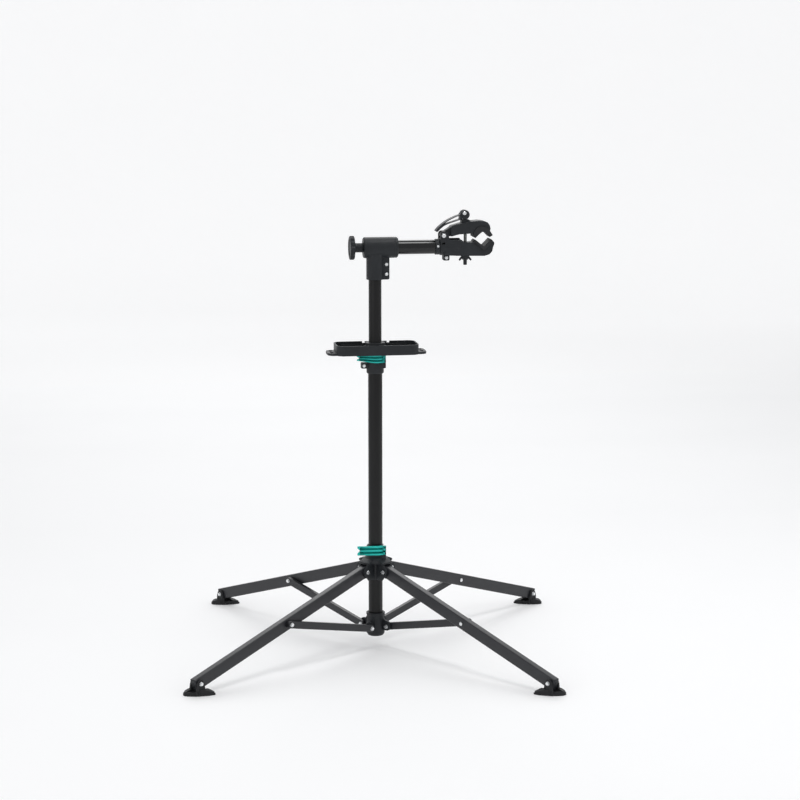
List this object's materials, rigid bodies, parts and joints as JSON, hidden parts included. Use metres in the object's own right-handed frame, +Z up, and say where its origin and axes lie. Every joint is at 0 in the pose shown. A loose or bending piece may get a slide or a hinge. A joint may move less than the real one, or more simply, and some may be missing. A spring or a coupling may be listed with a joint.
{
  "type": "bicycle repair stand",
  "caption": "Folding repair stand: telescopic mast on braced folding legs, with a tool tray and a swivelling arm that ends in a quick-release tube clamp.",
  "frame": {"origin": "on the floor, under the mast's axis", "axes": "+Z up along the mast, +X along the arm towards the clamp, +Y away from the side with the clamp levers"},
  "size_m": [0.8588, 0.8354, 0.9342],
  "materials": {
    "mast_black": "satin black powder coat",
    "gloss_black": "gloss black coat",
    "leg_paint": "fine textured anthracite powder coat",
    "nylon": "moulded glass-filled nylon, dark grey",
    "teal": "moulded teal nylon",
    "rubber": "soft dark grey rubber",
    "zinc": "zinc-plated steel"
  },
  "bodies": {
    "standing_mast": {"mast_outer_tube": "mast_black", "bottom_collar": "nylon", "upper_collar": "nylon", "upper_pinch_bolt": "zinc", "upper_lever_pin": "zinc", "tool_tray": "nylon", "stay_bolt_1": "zinc", "stay_bolt_2": "zinc", "stay_bolt_3": "zinc", "stay_bolt_4": "zinc"},
    "upper_clamp_lever": {"upper_lever": "teal"},
    "sliding_hub": {"leg_hub": "nylon", "lower_lever_pin": "zinc", "hub_bolt_1": "zinc", "hub_bolt_2": "zinc", "hub_bolt_3": "zinc", "hub_bolt_4": "zinc"},
    "lower_clamp_lever": {"lower_lever": "teal"},
    "leg_link_1": {"leg_1": "leg_paint", "foot_bolt_1": "zinc"},
    "stay_link_1": {"stay_1": "leg_paint", "mid_bolt_1": "zinc"},
    "shoe_1": {"foot_1": "rubber"},
    "leg_link_2": {"leg_2": "leg_paint", "foot_bolt_2": "zinc"},
    "stay_link_2": {"stay_2": "leg_paint", "mid_bolt_2": "zinc"},
    "shoe_2": {"foot_2": "rubber"},
    "leg_link_3": {"leg_3": "leg_paint", "foot_bolt_3": "zinc"},
    "stay_link_3": {"stay_3": "leg_paint", "mid_bolt_3": "zinc"},
    "shoe_3": {"foot_3": "rubber"},
    "leg_link_4": {"leg_4": "leg_paint", "foot_bolt_4": "zinc"},
    "stay_link_4": {"stay_4": "leg_paint", "mid_bolt_4": "zinc"},
    "shoe_4": {"foot_4": "rubber"},
    "mast_bush": {"guide_bush": "nylon"},
    "rising_mast": {"mast_inner_tube": "mast_black", "arm_head": "nylon", "head_screw_1": "zinc", "head_screw_2": "zinc"},
    "arm": {"arm_tube": "gloss_black", "draw_stud": "zinc", "arm_stub": "zinc", "end_ring": "nylon", "ring_screw": "zinc", "clamp_body": "nylon", "clamp_pinch_bolt": "zinc", "lower_pad": "rubber", "jaw_pivot_bolt": "zinc"},
    "arm_knob": {"locking_knob": "nylon"},
    "top_jaw": {"upper_jaw": "nylon", "upper_pad": "rubber"},
    "clamp_rod": {"draw_rod": "zinc", "cam_pin": "zinc"},
    "quick_release": {"cam_lever": "nylon"},
    "adjuster": {"wing_nut": "nylon"}
  },
  "joints": [
    {"name": "hub_slide", "type": "slide", "parent": "standing_mast", "child": "sliding_hub", "axis": [0, 0, 1], "range_m": [0, 0.344]},
    {"name": "upper_lever_turn", "type": "hinge", "parent": "standing_mast", "child": "upper_clamp_lever", "pos_m": [0.0156, -0.0185, 0.622], "axis": [0, 0, 1], "range_deg": [0, 130]},
    {"name": "lower_lever_turn", "type": "hinge", "parent": "sliding_hub", "child": "lower_clamp_lever", "pos_m": [0.0156, -0.0185, 0.215], "axis": [0, 0, 1], "range_deg": [0, 130]},
    {"name": "leg_1_fold", "type": "hinge", "parent": "sliding_hub", "child": "leg_link_1", "pos_m": [0.02808, 0.02089, 0.1695], "axis": [-0.5968, 0.8024, 0], "range_deg": [0, 66.6]},
    {"name": "stay_1_fold", "type": "hinge", "parent": "standing_mast", "child": "stay_link_1", "pos_m": [0.02247, 0.01671, 0.046], "axis": [0.5968, -0.8024, 0], "range_deg": [0, 69.32]},
    {"name": "shoe_1_tilt", "type": "hinge", "parent": "leg_link_1", "child": "shoe_1", "pos_m": [0.40021, 0.29765, 0.02417], "axis": [-0.5968, 0.8024, 0], "range_deg": [-70, 18]},
    {"name": "leg_2_fold", "type": "hinge", "parent": "sliding_hub", "child": "leg_link_2", "pos_m": [-0.02089, 0.02808, 0.1695], "axis": [-0.8024, -0.5968, 0], "range_deg": [0, 66.6]},
    {"name": "stay_2_fold", "type": "hinge", "parent": "standing_mast", "child": "stay_link_2", "pos_m": [-0.01671, 0.02247, 0.046], "axis": [0.8024, 0.5968, 0], "range_deg": [0, 69.32]},
    {"name": "shoe_2_tilt", "type": "hinge", "parent": "leg_link_2", "child": "shoe_2", "pos_m": [-0.29765, 0.40021, 0.02417], "axis": [-0.8024, -0.5968, 0], "range_deg": [-70, 18]},
    {"name": "leg_3_fold", "type": "hinge", "parent": "sliding_hub", "child": "leg_link_3", "pos_m": [-0.02808, -0.02089, 0.1695], "axis": [0.5968, -0.8024, 0], "range_deg": [0, 66.6]},
    {"name": "stay_3_fold", "type": "hinge", "parent": "standing_mast", "child": "stay_link_3", "pos_m": [-0.02247, -0.01671, 0.046], "axis": [-0.5968, 0.8024, 0], "range_deg": [0, 69.32]},
    {"name": "shoe_3_tilt", "type": "hinge", "parent": "leg_link_3", "child": "shoe_3", "pos_m": [-0.40021, -0.29765, 0.02417], "axis": [0.5968, -0.8024, 0], "range_deg": [-70, 18]},
    {"name": "leg_4_fold", "type": "hinge", "parent": "sliding_hub", "child": "leg_link_4", "pos_m": [0.02089, -0.02808, 0.1695], "axis": [0.8024, 0.5968, 0], "range_deg": [0, 66.6]},
    {"name": "stay_4_fold", "type": "hinge", "parent": "standing_mast", "child": "stay_link_4", "pos_m": [0.01671, -0.02247, 0.046], "axis": [-0.8024, -0.5968, 0], "range_deg": [0, 69.32]},
    {"name": "shoe_4_tilt", "type": "hinge", "parent": "leg_link_4", "child": "shoe_4", "pos_m": [0.29765, -0.40021, 0.02417], "axis": [0.8024, 0.5968, 0], "range_deg": [-70, 18]},
    {"name": "mast_height", "type": "slide", "parent": "standing_mast", "child": "mast_bush", "axis": [0, 0, 1], "range_m": [0, 0.57]},
    {"name": "mast_swivel", "type": "hinge", "parent": "mast_bush", "child": "rising_mast", "pos_m": [0, 0, 0.1], "axis": [0, 0, 1], "continuous": true},
    {"name": "arm_roll", "type": "hinge", "parent": "rising_mast", "child": "arm", "pos_m": [0, 0, 0.8577], "axis": [1, 0, 0], "continuous": true},
    {"name": "knob_turn", "type": "hinge", "parent": "arm", "child": "arm_knob", "pos_m": [-0.05, 0, 0.8577], "axis": [1, 0, 0], "continuous": true},
    {"name": "jaw_open", "type": "hinge", "parent": "arm", "child": "top_jaw", "pos_m": [0.143, 0, 0.882], "axis": [0, -1, 0], "range_deg": [0, 15]},
    {"name": "rod_lift", "type": "slide", "parent": "arm", "child": "clamp_rod", "axis": [0, 0, 1], "range_m": [0, 0.014]},
    {"name": "cam_turn", "type": "hinge", "parent": "clamp_rod", "child": "quick_release", "pos_m": [0.1878, 0, 0.9275], "axis": [0, 1, 0], "range_deg": [0, 150]},
    {"name": "wing_turn", "type": "hinge", "parent": "arm", "child": "adjuster", "pos_m": [0.1912, 0, 0.833], "axis": [0, 0, 1], "continuous": true}
  ],
  "couplings": [
    {"joint": "leg_1_fold", "follows": "hub_slide", "rad_per_m": 3.3762},
    {"joint": "stay_1_fold", "follows": "hub_slide", "rad_per_m": 3.5141},
    {"joint": "leg_2_fold", "follows": "hub_slide", "rad_per_m": 3.3762},
    {"joint": "stay_2_fold", "follows": "hub_slide", "rad_per_m": 3.5141},
    {"joint": "leg_3_fold", "follows": "hub_slide", "rad_per_m": 3.3762},
    {"joint": "stay_3_fold", "follows": "hub_slide", "rad_per_m": 3.5141},
    {"joint": "leg_4_fold", "follows": "hub_slide", "rad_per_m": 3.3762},
    {"joint": "stay_4_fold", "follows": "hub_slide", "rad_per_m": 3.5141},
    {"joint": "rod_lift", "follows": "jaw_open", "m_per_rad": 0.052}
  ]
}
